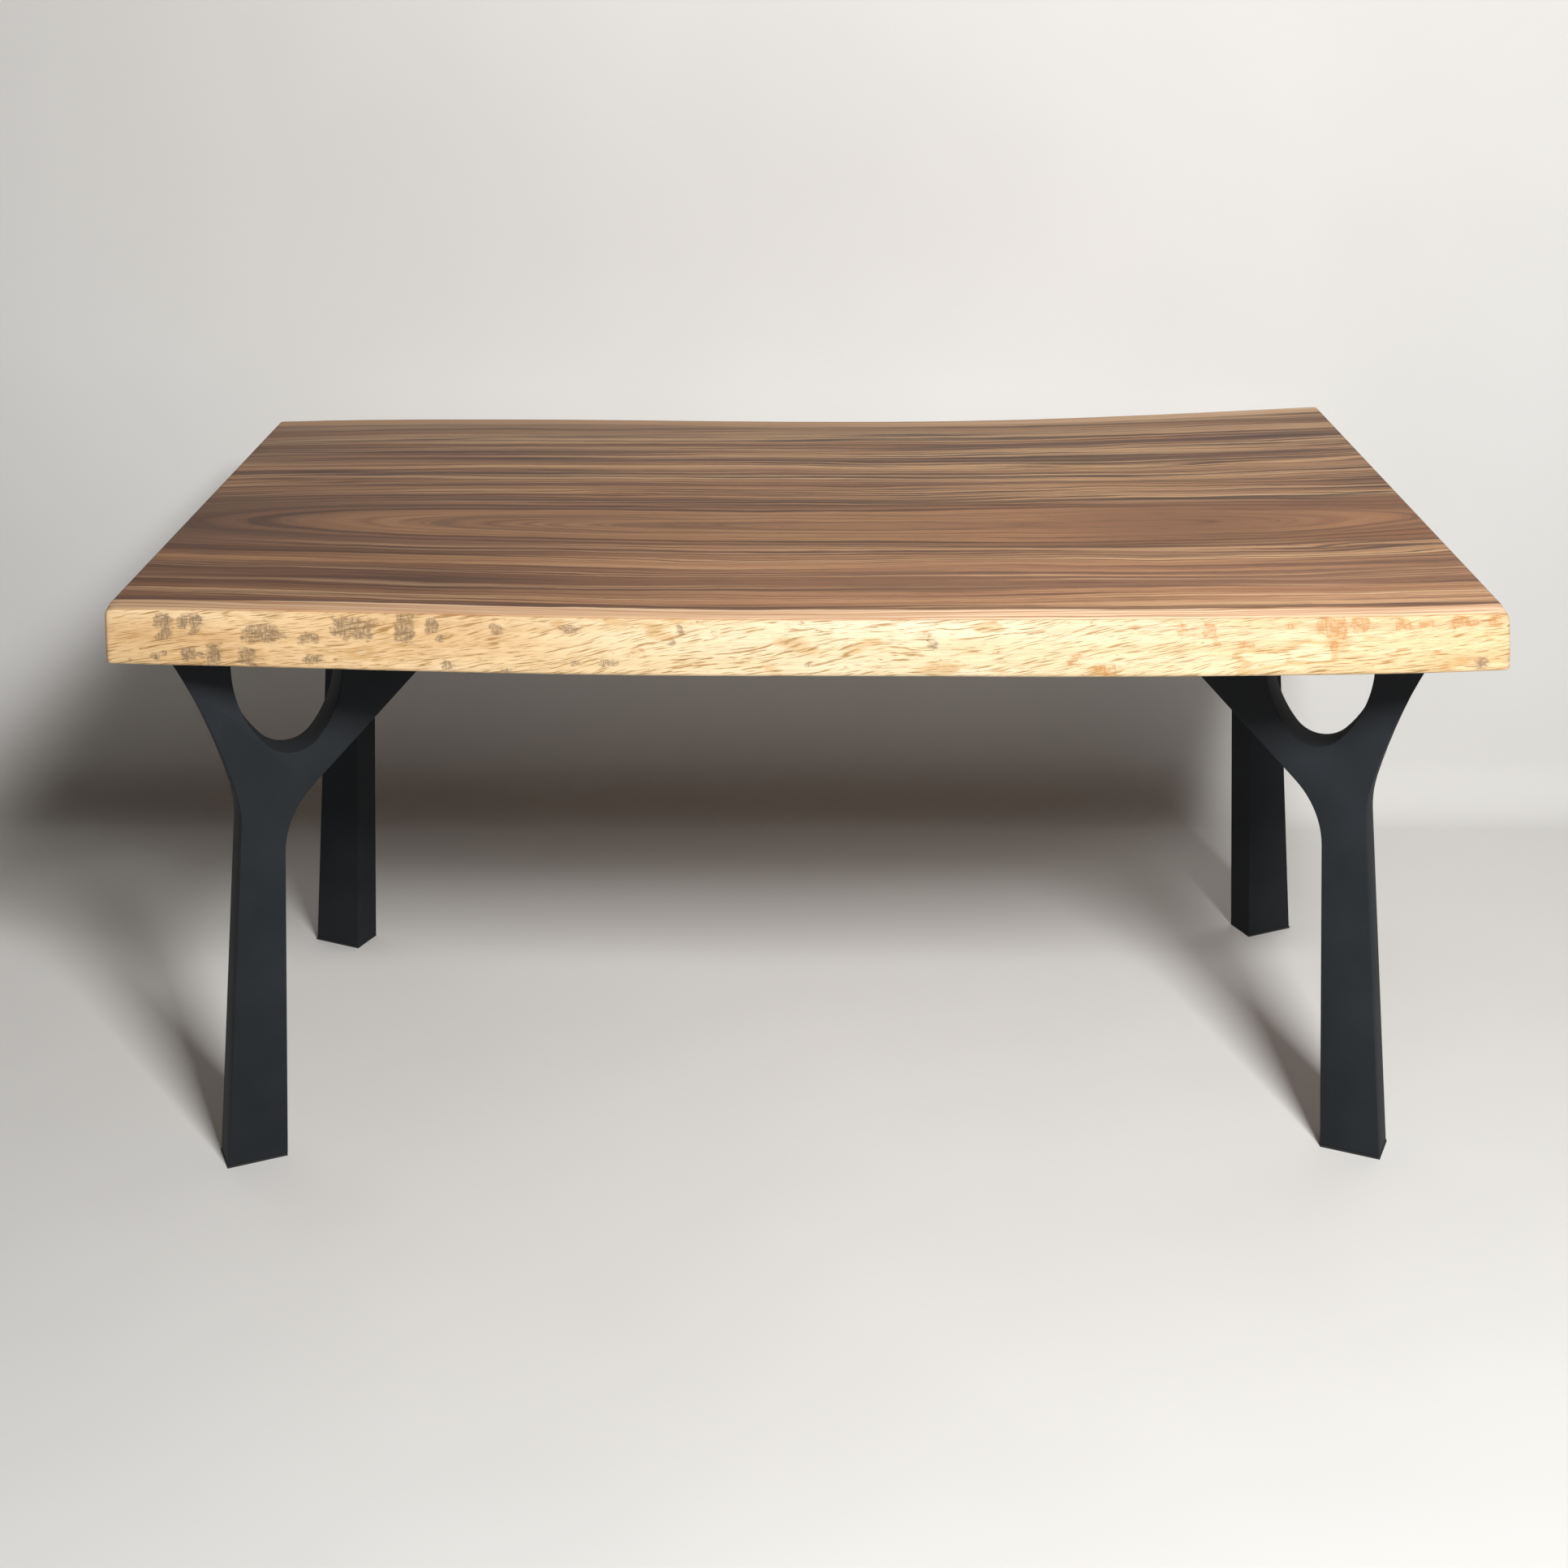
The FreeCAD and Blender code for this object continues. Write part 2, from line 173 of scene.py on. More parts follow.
def sand_corner(point, inset):
    """Rounds the end of the front face, as seen from the front, less and less away from the edge."""
    for rim, radius, up in ((slab_high.z, sanding["top"], 1), (slab_low.z, sanding["bottom"], -1)):
        radius *= 1 - inset / sanded_depth
        spoke = Vector((abs(point.x) - slab_size.x / 2 + radius, up * (point.z - rim) + radius))
        if min(radius, spoke.x, spoke.y) > 0 and spoke.length > radius:
            spoke *= radius / spoke.length
            point.x = math.copysign(slab_size.x / 2 - radius + spoke.x, point.x)
            point.z = rim + up * (spoke.y - radius)


def scar_at(scars, x, z):
    """How strongly a group of scars marks a place on the front face, from 0 to 1."""
    mark = 0
    for place, height, length, tallness, strength in scars:
        sideways = abs(x / mm - place) * 2 / length
        upwards = abs(z / mm - height) * 2 / tallness
        reach = (sideways ** blockiness + upwards ** blockiness) ** (1 / blockiness)
        mark = max(mark, strength * min(1, max(0, scar_edge - reach)))
    return mark


from_front = slab.verts.layers.float.new("from_front")
from_back = slab.verts.layers.float.new("from_back")
bark = slab.verts.layers.float.new("bark")
tan = slab.verts.layers.float.new("tan")
swirl = slab.verts.layers.float.new("swirl")
for vert in slab.verts:
    x, y, z = vert.co
    front = live_edge(x, z, -1)
    back = live_edge(x, z, 1)
    near_front = y < slab_low.y + 2 * corner_radius
    near_back = y > slab_high.y - 2 * corner_radius
    if near_front:
        vert[bark] = scar_at(bark_scars, x, z)
        vert[tan] = scar_at(tan_scars, x, z)
        vert[swirl] = scar_at(swirls, x, z)
        y += front - slab_low.y - swell * sanding_swell(x, z, -1) + scar_depth * vert[bark]
    elif near_back:
        y += back - slab_high.y + swell * sanding_swell(x, z, 1)
    vert.co.y = y
    vert[from_front] = y - front
    vert[from_back] = back - y
    sand_corner(vert.co, y - front)


def add_object(name, data):
    """Puts a mesh, a lamp or a camera into the scene."""
    added = bpy.data.objects.new(name, data)
    bpy.context.scene.collection.objects.link(added)
    return added


slab_mesh = bpy.data.meshes.new("live_edge_board")
slab.to_mesh(slab_mesh)
slab.free()
slab_mesh.shade_smooth()
slab_mesh.set_sharp_from_angle(angle=slab_crease)
slab_piece = add_object("live_edge_board", slab_mesh)
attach(slab_piece, "root")
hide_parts("live_edge_slab")


def srgb(code):
    """The linear colour of an sRGB hex value."""
    parts = [int(code[i:i + 2], 16) / 255 for i in (1, 3, 5)]
    return [c / 12.92 if c <= 0.04045 else ((c + 0.055) / 1.055) ** 2.4 for c in parts] + [1]


def node(tree, kind, inputs=None, stops=None, **settings):
    """Adds a shader node with its settings and colour stops, and sets its inputs or links them."""
    made = tree.nodes.new("ShaderNode" + kind)
    for name, value in settings.items():
        setattr(made, name, value)
    for name, value in (inputs or {}).items():
        if isinstance(value, bpy.types.Node):
            value = next(socket for socket in value.outputs if socket.enabled)
        if isinstance(value, bpy.types.NodeSocket):
            tree.links.new(value, made.inputs[name])
        else:
            made.inputs[name].default_value = value
    if stops:
        elements = made.color_ramp.elements
        elements.remove(elements[1])
        elements[0].position = stops[0][0]
        elements[0].color = srgb(stops[0][1])
        for position, code in stops[1:]:
            elements.new(position).color = srgb(code)
    return made


def empty_tree(owner):
    """The node tree of a new material or world, without the nodes that it comes with."""
    owner.use_nodes = True
    owner.node_tree.nodes.clear()
    return owner.node_tree


def per_metre(lengths):
    """The pattern scales of some lengths in mm."""
    return [1 / (length * mm) for length in lengths]


# Suar wood, planed, sanded and oiled to a satin sheen: brown heartwood with dark growth streaks and
# short open pores, and cream sapwood under the bark. The rings stand round a pith just below the top face,
# so the top shows one long flame, the live edges wide figure, and the sawn ends arcs.
wood = bpy.data.materials.new("oiled suar wood")
tree = empty_tree(wood)
place = node(tree, "TexCoord").outputs["Object"]
along, across, upward = node(tree, "SeparateXYZ", {0: place}).outputs
# Each noise has its lengths along, across and up in mm, its detail and its roughness. Pores and fibres are
# drawn about three times coarser than real, to show.
grain = {}
for name, lengths, detail, roughness in (
        ("wander", (1100, 330, 330), 2, 0.5), ("ripple", (190, 42, 42), 3, 0.5),
        ("fibre", (60, 1.5, 1.5), 2, 0.6), ("pore", (16, 1.6, 1.6), 1, 0.4),
        ("sap_edge", (160, 40, 40), 3, 0.5), ("cloud", (420, 60, 26), 3, 0.55),
        ("warmth", (420, 130, 130), 2, 0.5), ("crumb", (17, 17, 8), 3, 0.65),
        ("hatch", (7, 7, 1.5), 2, 0.5), ("comb", (1.8, 7, 9), 2, 0.5),
        ("whorl", (52, 60, 21), 1, 0.5), ("bend", (320, 300, 90), 2, 0.4)):
    scaled = node(tree, "Mapping", {"Vector": place, "Scale": per_metre(lengths)})
    grain[name] = node(tree, "TexNoise", {
        "Vector": scaled, "Scale": 1.0, "Detail": detail, "Roughness": roughness})

# Distance from the pith. The grain keeps its share of the board's width, so it runs with both live edges.
# The pith sinks away from the middle, and rises in a low knoll on the right.
pith_share = 0.46
pith_along = 0.12
pith_drop = 18 * mm
pith_fall = 0.11
knoll_along = 0.5
knoll_reach = 0.26
knoll_rise = 16 * mm
wander_reach = 0.11
ripple_reach = 0.022
front_gap = node(tree, "Attribute", attribute_name="from_front").outputs["Fac"]
back_gap = node(tree, "Attribute", attribute_name="from_back").outputs["Fac"]
board_width = node(tree, "Math", {0: front_gap, 1: back_gap}, operation="ADD")
share = node(tree, "Math", {0: front_gap, 1: board_width}, operation="DIVIDE")
sideways = node(tree, "Math", {0: share, 1: slab_size.y, 2: -pith_share * slab_size.y},
                operation="MULTIPLY_ADD")
sideways = node(tree, "Math", {0: grain["wander"], 1: wander_reach, 2: sideways}, operation="MULTIPLY_ADD")
sideways = node(tree, "Math", {0: grain["ripple"], 1: ripple_reach, 2: sideways}, operation="MULTIPLY_ADD")
beside = node(tree, "Math", {0: along, 1: pith_along}, operation="SUBTRACT")
sag = node(tree, "Math", {0: beside, 1: beside}, operation="MULTIPLY")
depth = node(tree, "Math", {0: sag, 1: pith_fall, 2: upward}, operation="MULTIPLY_ADD")
depth = node(tree, "Math", {0: depth, 1: slab_high.z - pith_drop}, operation="SUBTRACT")
from_knoll = node(tree, "Math", {0: along, 1: knoll_along}, operation="SUBTRACT")
from_knoll = node(tree, "Math", {0: from_knoll}, operation="ABSOLUTE")
knoll = node(tree, "MapRange", {
    "Value": from_knoll, "From Min": knoll_reach, "From Max": 0.0, "To Max": knoll_rise},
    interpolation_type="SMOOTHSTEP")
depth = node(tree, "Math", {0: depth, 1: knoll}, operation="SUBTRACT")
spoke = node(tree, "CombineXYZ", {0: sideways, 1: depth})
ring = node(tree, "VectorMath", {0: spoke}, operation="LENGTH")
ring_place = node(tree, "CombineXYZ", {0: along, 1: ring, 2: across})
for name, lengths, detail, roughness in (
        ("broad", (2200, 52, 700), 2, 0.5), ("streak", (1300, 17, 500), 3, 0.6),
        ("line", (2600, 38, 1200), 2, 0.5), ("fine", (500, 5.5, 260), 3, 0.6)):
    scaled = node(tree, "Mapping", {"Vector": ring_place, "Scale": per_metre(lengths)})
    grain[name] = node(tree, "TexNoise", {
        "Vector": scaled, "Scale": 1.0, "Detail": detail, "Roughness": roughness})

# Heartwood: broad brown zones, dark streaks, and thin dark growth lines with a pale one beside them.
# A Mix node takes its share at input 0 and its two colours at inputs 6 and 7.
streak_share = 0.4
broad_share = 0.6
part_streak = node(tree, "Math", {0: grain["streak"], 1: streak_share}, operation="MULTIPLY")
tone = node(tree, "Math", {0: grain["broad"], 1: broad_share, 2: part_streak}, operation="MULTIPLY_ADD")
heart = node(tree, "ValToRGB", {"Fac": tone}, stops=(
    (0.41, "#684730"), (0.465, "#8D6445"), (0.505, "#A87C56"), (0.54, "#BC9065"), (0.6, "#DAB387")))
warm = node(tree, "MapRange", {"Value": grain["warmth"], "From Min": 0.5, "From Max": 0.72, "To Max": 0.35})
heart = node(tree, "Mix", {0: warm, 6: heart, 7: srgb("#8E5B40")}, data_type="RGBA")
dark = node(tree, "MapRange", {
    "Value": grain["streak"], "From Min": 0.57, "From Max": 0.68, "To Max": 0.45},
    interpolation_type="SMOOTHSTEP")
heart = node(tree, "Mix", {0: dark, 6: heart, 7: srgb("#4F3626")}, data_type="RGBA")
for level, half_width, code, strength in (
        (0.55, 0.03, "#DDB88E", 0.45), (0.5, 0.03, "#36231A", 0.9),
        (0.41, 0.022, "#452E21", 0.75), (0.6, 0.022, "#452E21", 0.75)):
    off_line = node(tree, "Math", {0: grain["line"], 1: level}, operation="SUBTRACT")
    off_line = node(tree, "Math", {0: off_line}, operation="ABSOLUTE")
    growth = node(tree, "MapRange", {
        "Value": off_line, "From Max": half_width, "To Min": strength, "To Max": 0.0},
        interpolation_type="SMOOTHSTEP")
    heart = node(tree, "Mix", {0: growth, 6: heart, 7: srgb(code)}, data_type="RGBA")

# Round the pith the rings lie flat and show as one long flame with few lines, smoky at its left tip and
# over the knoll, and reddish in the right half. Painted shade darkens the left half of the board, as if the
# light fell off there, and painted light lightens the front of its right half.
flame_reach = 120 * mm
core_reach = 85 * mm
core_end = 130 * mm
paler_reach = -100 * mm
paler_end = -220 * mm
core_strength = 0.85
smoke_strength = 0.4
ring_contrast = 0.62
fibre_contrast = 0.45
pore_strength = 0.35
ring_share = node(tree, "Math", {0: ring, 1: flame_reach}, operation="DIVIDE")
flame = node(tree, "ValToRGB", {"Fac": ring_share}, stops=(
    (0.1, "#A07350"), (0.37, "#B3865E"), (0.404, "#835C42"), (0.44, "#AC7F58"), (0.56, "#B3865E"),
    (0.585, "#8D6449"), (0.61, "#B0835B"), (0.73, "#A67A54"), (0.76, "#3A251A"), (0.79, "#452E21"),
    (0.815, "#93694A"), (0.86, "#805A41"), (0.9, "#402A1F"), (0.93, "#5D4130"), (1.0, "#936B4C")))
beside_pith = node(tree, "Math", {0: sideways}, operation="ABSOLUTE")
core = node(tree, "MapRange", {"Value": beside_pith, "From Min": core_end, "From Max": core_reach},
            interpolation_type="SMOOTHSTEP")
in_core = node(tree, "Math", {0: core, 1: core_strength}, operation="MULTIPLY")
heart = node(tree, "Mix", {0: in_core, 6: heart, 7: flame}, data_type="RGBA")
for first, last, code, strength in ((-0.5, -0.78, "#4A352A", 0.5), (0.0, 0.4, "#93603C", 0.5)):
    tint = node(tree, "MapRange", {"Value": along, "From Min": first, "From Max": last, "To Max": strength})
    tint = node(tree, "Math", {0: tint, 1: core}, operation="MULTIPLY")
    heart = node(tree, "Mix", {0: tint, 6: heart, 7: srgb(code)}, data_type="RGBA")
smoky = node(tree, "Math", {0: knoll, 1: smoke_strength / knoll_rise}, operation="MULTIPLY")
smoky = node(tree, "Math", {0: smoky, 1: core}, operation="MULTIPLY")
heart = node(tree, "Mix", {0: smoky, 6: heart, 7: srgb("#6A4734")}, data_type="RGBA")
# Painted shade, a little reddish: the heartwood grows darker towards the left end, as if the light fell
# off.
painted_left_shade = node(tree, "MapRange", {
    "Value": along, "From Min": -0.8, "From Max": 0.3, "To Min": 0.42, "To Max": 0.0})
heart = node(tree, "Mix", {0: painted_left_shade, 6: heart, 7: srgb("#55301C")}, data_type="RGBA")
# Painted light: the front of the right half is lightened, as if it stood nearer the lamp.
to_right = node(tree, "MapRange", {"Value": along, "From Min": -0.45, "From Max": 0.0, "To Max": 0.3})
to_front = node(tree, "MapRange", {"Value": sideways, "From Min": paler_reach, "From Max": paler_end})
painted_front_light = node(tree, "Math", {0: to_right, 1: to_front}, operation="MULTIPLY")
heart = node(tree, "Mix", {0: painted_front_light, 6: heart, 7: srgb("#C28F6D")}, data_type="RGBA")
fine = node(tree, "ValToRGB", {"Fac": grain["fine"]}, stops=(
    (0.36, "#8F8079"), (0.48, "#F4F1EE"), (0.6, "#FFFFFF")))
heart = node(tree, "Mix", {0: ring_contrast, 6: heart, 7: fine}, data_type="RGBA", blend_type="MULTIPLY")
fibre = node(tree, "ValToRGB", {"Fac": grain["fibre"]}, stops=((0.3, "#A8A09A"), (0.55, "#FFFFFF")))
heart = node(tree, "Mix", {0: fibre_contrast, 6: heart, 7: fibre}, data_type="RGBA", blend_type="MULTIPLY")
pore = node(tree, "MapRange", {"Value": grain["pore"], "From Min": 0.66, "From Max": 0.74},
            interpolation_type="SMOOTHSTEP")
pore_shade = node(tree, "Math", {0: pore, 1: pore_strength}, operation="MULTIPLY")
heart = node(tree, "Mix", {0: pore_shade, 6: heart, 7: srgb("#3F2A20")}, data_type="RGBA")

# The heartwood ends in a dark rim behind a strip of sapwood, about 33 mm wide in front and at the back. The
# back rim is wide and soft. Each border runs between two distances from the live edge, less the wander.
sap_wander = 16 * mm
front_sap_border = (43 * mm, 40 * mm)
back_sap_border = (44 * mm, 38 * mm)
front_rim_border = (62 * mm, 44 * mm)
back_rim_border = (170 * mm, 90 * mm)
front_reach = node(tree, "Math", {0: grain["sap_edge"], 1: sap_wander, 2: front_gap},
                   operation="MULTIPLY_ADD")
back_reach = node(tree, "Math", {0: grain["sap_edge"], 1: sap_wander, 2: back_gap},
                  operation="MULTIPLY_ADD")
front_sap = node(tree, "MapRange", {
    "Value": front_reach, "From Min": front_sap_border[0], "From Max": front_sap_border[1]},
    interpolation_type="SMOOTHSTEP")
back_sap = node(tree, "MapRange", {
    "Value": back_reach, "From Min": back_sap_border[0], "From Max": back_sap_border[1]},
    interpolation_type="SMOOTHSTEP")
front_rim = node(tree, "MapRange", {
    "Value": front_reach, "From Min": front_rim_border[0], "From Max": front_rim_border[1],
    "To Max": 0.7},
    interpolation_type="SMOOTHSTEP")
back_rim = node(tree, "MapRange", {
    "Value": back_reach, "From Min": back_rim_border[0], "From Max": back_rim_border[1],
    "To Max": 0.36},
    interpolation_type="SMOOTHSTEP")
rim = node(tree, "Math", {0: front_rim, 1: back_rim}, operation="MAXIMUM")
heart = node(tree, "Mix", {0: rim, 6: heart, 7: srgb("#54382B")}, data_type="RGBA")

# Sapwood: golden on the left of the live faces, paler towards the right, and golden again at the right end,
# with a pale swirl that has a tan outline.
whorl_wander = 2.2
golden = node(tree, "ValToRGB", {"Fac": grain["cloud"]}, stops=(
    (0.3, "#CFA877"), (0.5, "#DEBD90"), (0.68, "#E8CBA1")))
pale = node(tree, "ValToRGB", {"Fac": grain["cloud"]}, stops=(
    (0.3, "#D0B489"), (0.5, "#D8C5A1"), (0.68, "#DFD0B4")))
paling = node(tree, "MapRange", {"Value": along, "From Min": -0.55, "From Max": 0.1})
fading = node(tree, "MapRange", {"Value": along, "From Min": 0.45, "From Max": 0.8, "To Max": 0.8})
paling = node(tree, "Math", {0: paling, 1: fading}, operation="SUBTRACT")
sap = node(tree, "Mix", {0: paling, 6: golden, 7: pale}, data_type="RGBA")
whorl = node(tree, "Attribute", attribute_name="swirl").outputs["Fac"]
whorl = node(tree, "Math", {0: grain["whorl"], 1: whorl_wander, 2: whorl}, operation="MULTIPLY_ADD")
for first, last, code, strength in ((1.35, 1.6, "#BC9257", 0.5), (1.65, 1.9, "#DDD0AC", 0.8)):
    spot = node(tree, "MapRange", {
        "Value": whorl, "From Min": first, "From Max": last, "To Max": strength},
        interpolation_type="SMOOTHSTEP")
    sap = node(tree, "Mix", {0: spot, 6: sap, 7: srgb(code)}, data_type="RGBA")

# Short brown dashes are the cut vessels of the sapwood. They rise to the right, and bend with the grain.
dash_slope = -0.16
dash_bend = 0.07
dash_lengths = (26, 30, 1.2)
sap_fibre_contrast = 0.3
lean = node(tree, "Math", {0: along, 1: dash_slope, 2: upward}, operation="MULTIPLY_ADD")
lean = node(tree, "Math", {0: grain["bend"], 1: dash_bend, 2: lean}, operation="MULTIPLY_ADD")
dash_place = node(tree, "CombineXYZ", {0: along, 1: across, 2: lean})
dash_place = node(tree, "Mapping", {"Vector": dash_place, "Scale": per_metre(dash_lengths)})
dash = node(tree, "TexNoise", {"Vector": dash_place, "Scale": 1.0, "Detail": 2.0})
dash = node(tree, "MapRange", {"Value": dash, "From Min": 0.53, "From Max": 0.65, "To Max": 0.85},
            interpolation_type="SMOOTHSTEP")
sap = node(tree, "Mix", {0: dash, 6: sap, 7: srgb("#9A733F")}, data_type="RGBA")
sap = node(tree, "Mix", {0: sap_fibre_contrast, 6: sap, 7: fibre}, data_type="RGBA", blend_type="MULTIPLY")

# The scars have crumbling outlines and are hatched along and across the grain.
scar_gain = 1.12
crumb_gain = 2.2
crumb_drop = -1.19
hatch = node(tree, "Math", {0: grain["hatch"], 1: grain["comb"]}, operation="MAXIMUM")
hatch = node(tree, "MapRange", {"Value": hatch, "From Min": 0.45, "From Max": 0.62, "To Min": 0.3})
crumble = node(tree, "Math", {0: grain["crumb"], 1: crumb_gain, 2: crumb_drop}, operation="MULTIPLY_ADD")
for name, code, strength in (("tan", "#AD7437", 0.75), ("bark", "#77634F", 0.82)):
    mark = node(tree, "Attribute", attribute_name=name).outputs["Fac"]
    mark = node(tree, "Math", {0: mark, 1: scar_gain, 2: crumble}, operation="MULTIPLY_ADD")
    spot = node(tree, "MapRange", {
        "Value": mark, "From Min": 0.18, "From Max": 0.62, "To Max": strength},
        interpolation_type="SMOOTHSTEP")
    spot = node(tree, "Math", {0: spot, 1: hatch}, operation="MULTIPLY")
    sap = node(tree, "Mix", {0: spot, 6: sap, 7: srgb(code)}, data_type="RGBA")

# On the top the sapwood is a pinkish, streaked strip, browner at the back. On the left it is deeper
# and more golden, partly its own tone and partly painted shade. A thin dark line of painted shade
# lies on the arris between the strip and the live face.
strip_shade = 1.3
arris_facing = 0.62
arris_spread = 0.22
strip = node(tree, "ValToRGB", {"Fac": grain["fine"]}, stops=(
    (0.36, "#B08460"), (0.5, "#DBB390"), (0.64, "#ECCFAD")))
normal = node(tree, "NewGeometry").outputs["Normal"]
facing_up = node(tree, "SeparateXYZ", {0: normal}).outputs["Z"]
on_top = node(tree, "MapRange", {"Value": facing_up, "From Min": 0.6, "From Max": 0.85},
              interpolation_type="SMOOTHSTEP")
# Partly painted shade: the left shade, made stronger, mixes the strip towards golden brown.
painted_strip_shade = node(tree, "Math", {0: painted_left_shade, 1: strip_shade}, operation="MULTIPLY")
strip = node(tree, "Mix", {0: painted_strip_shade, 6: strip, 7: srgb("#8A6238")}, data_type="RGBA")
browner = node(tree, "MapRange", {
    "Value": along, "From Min": -0.4, "From Max": 0.7, "To Min": 0.85, "To Max": 0.4})
browner = node(tree, "Math", {0: back_sap, 1: browner}, operation="MULTIPLY")
strip = node(tree, "Mix", {0: browner, 6: strip, 7: srgb("#A07A56")}, data_type="RGBA")
sap = node(tree, "Mix", {0: on_top, 6: sap, 7: strip}, data_type="RGBA")
# Painted shade: a thin dark line where the arris rounds over from the top to the live face.
off_arris = node(tree, "Math", {0: facing_up, 1: arris_facing}, operation="SUBTRACT")
off_arris = node(tree, "Math", {0: off_arris}, operation="ABSOLUTE")
arris_painted_shade = node(tree, "MapRange", {
    "Value": off_arris, "From Max": arris_spread, "To Min": 0.8, "To Max": 0.0})
sap = node(tree, "Mix", {0: arris_painted_shade, 6: sap, 7: srgb("#A2744C")}, data_type="RGBA")
either_sap = node(tree, "Math", {0: front_sap, 1: back_sap}, operation="MAXIMUM")
colour = node(tree, "Mix", {0: either_sap, 6: heart, 7: sap}, data_type="RGBA")

# Under the oil the fibres and pores can still be felt, and its satin sheen changes with the growth rings.
grain_relief = 0.4 * mm
fibre_rise = 0.5
pore_sink = -0.8
ring_dullness = 0.16
oil_dullness = 0.42
pore_relief = node(tree, "Math", {0: pore, 1: pore_sink}, operation="MULTIPLY")
relief = node(tree, "Math", {0: grain["fibre"], 1: fibre_rise, 2: pore_relief}, operation="MULTIPLY_ADD")
bump = node(tree, "Bump", {"Height": relief, "Strength": 0.12, "Distance": grain_relief})
dullness = node(tree, "Math", {0: grain["fine"], 1: ring_dullness, 2: oil_dullness},
                operation="MULTIPLY_ADD")
skin = node(tree, "BsdfPrincipled", {
    "Base Color": colour, "Roughness": dullness, "Normal": bump, "IOR": 1.46, "Specular IOR Level": 0.15})
node(tree, "OutputMaterial", {"Surface": skin})
slab_mesh.materials.append(wood)

# The legs: steel plates cut to a forked outline and welded into closed boxes, with the welds ground
# flush, the arrises eased by hand, and the whole leg powder coated in matt black.
arris_ease = 1.6 * mm
plate_gauge = 4 * mm
foot_gauge = 6 * mm
same_place = 0.01 * mm
arris_angle = math.radians(40)
leg_crease = math.radians(35)
corners = ("front_left", "front_right", "rear_left", "rear_right")
welded = ("front_plate", "back_plate", "outer_edge", "fork_edge", "inner_edge", "foot_plate")
leg_meshes = []
for corner in corners:
    front_low, front_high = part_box(corner + "_leg_front_plate")
    back_low, back_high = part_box(corner + "_leg_back_plate")
    through = (back_low + back_high - front_low - front_high) / 2
    inward = through.normalized()
    leg = bmesh.new()
    leg.from_mesh(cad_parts[corner + "_leg_front_plate"].data)
    bmesh.ops.remove_doubles(leg, verts=leg.verts, dist=same_place)
    spare = [f for f in leg.faces if f.normal.dot(inward) > -flat_cosine]
    bmesh.ops.delete(leg, geom=spare, context="FACES")
    bmesh.ops.dissolve_faces(leg, faces=leg.faces[:])
    foot = [v for v in leg.verts if v.co.z < front_low.z + mm]
    bmesh.ops.translate(leg, vec=(0, 0, -foot_gauge), verts=foot)
    far_side = bmesh.ops.extrude_face_region(leg, geom=leg.faces[:])["geom"]
    far_verts = [v for v in far_side if isinstance(v, bmesh.types.BMVert)]
    bmesh.ops.translate(leg, vec=through + inward * plate_gauge, verts=far_verts)
    bmesh.ops.recalc_face_normals(leg, faces=leg.faces[:])
    arrises = [e for e in leg.edges if e.calc_face_angle(0) > arris_angle]
    ease(leg, arrises, arris_ease, segments=3)
    leg_mesh = bpy.data.meshes.new(corner + "_leg_shell")
    leg.to_mesh(leg_mesh)
    leg.free()
    leg_mesh.shade_smooth()
    leg_mesh.set_sharp_from_angle(angle=leg_crease)
    leg_piece = add_object(corner + "_leg_shell", leg_mesh)
    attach(leg_piece, "root")
    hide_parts(*[corner + "_leg_" + name for name in welded])
    leg_meshes.append(leg_mesh)

# Matt black powder coat: baked polyester with a fine orange peel, bluish black and a little paler
# where it thins.
peel_size = 1.6 * mm
peel_relief = 0.15 * mm
thin_place = 90 * mm
peel_dullness = 0.14
coat_dullness = 0.52
coat = bpy.data.materials.new("matt black powder coat")
tree = empty_tree(coat)
place = node(tree, "TexCoord").outputs["Object"]
cloud = node(tree, "TexNoise", {"Vector": place, "Scale": 1 / thin_place, "Detail": 3.0})
peel = node(tree, "TexNoise", {"Vector": place, "Scale": 1 / peel_size, "Detail": 2.0})
tone = node(tree, "ValToRGB", {"Fac": cloud}, stops=((0.3, "#25282B"), (0.7, "#2B2E32")))
dullness = node(tree, "Math", {0: peel, 1: peel_dullness, 2: coat_dullness}, operation="MULTIPLY_ADD")
bump = node(tree, "Bump", {"Height": peel, "Strength": 0.18, "Distance": peel_relief})
skin = node(tree, "BsdfPrincipled", {
    "Base Color": tone, "Roughness": dullness, "Normal": bump, "IOR": 1.3, "Specular IOR Level": 0.1})
node(tree, "OutputMaterial", {"Surface": skin})
for leg_mesh in leg_meshes:
    leg_mesh.materials.append(coat)

# The top plates are welded over each fork, and the channels lie flush in the slab's pockets.
# Both are steel, with the legs' coat.
halves = ("left", "right")


def dress(names, material):
    """Gives CAD nodes their finished material."""
    for name in names:
        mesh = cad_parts[name].data
        mesh.materials.clear()
        mesh.materials.append(material)


dress([corner + "_leg_top_plate" for corner in corners], coat)
dress([half + "_underside_channel" for half in halves], coat)

# Foot pads: black rubber sheet cut to the foot's outline and glued on under the foot plate.
# The rubber is dull and faintly gritty.
grit_size = 1.2 * mm
grit_relief = 0.2 * mm
rubber = bpy.data.materials.new("black rubber sheet")
tree = empty_tree(rubber)
place = node(tree, "TexCoord").outputs["Object"]
grit = node(tree, "TexNoise", {"Vector": place, "Scale": 1 / grit_size, "Detail": 2.0})
tone = node(tree, "ValToRGB", {"Fac": grit}, stops=((0.3, "#121213"), (0.7, "#1C1C1D")))
bump = node(tree, "Bump", {"Height": grit, "Strength": 0.3, "Distance": grit_relief})
skin = node(tree, "BsdfPrincipled", {"Base Color": tone, "Roughness": 0.8, "Normal": bump, "IOR": 1.52})
node(tree, "OutputMaterial", {"Surface": skin})
dress([corner + "_leg_foot_pad" for corner in corners], rubber)

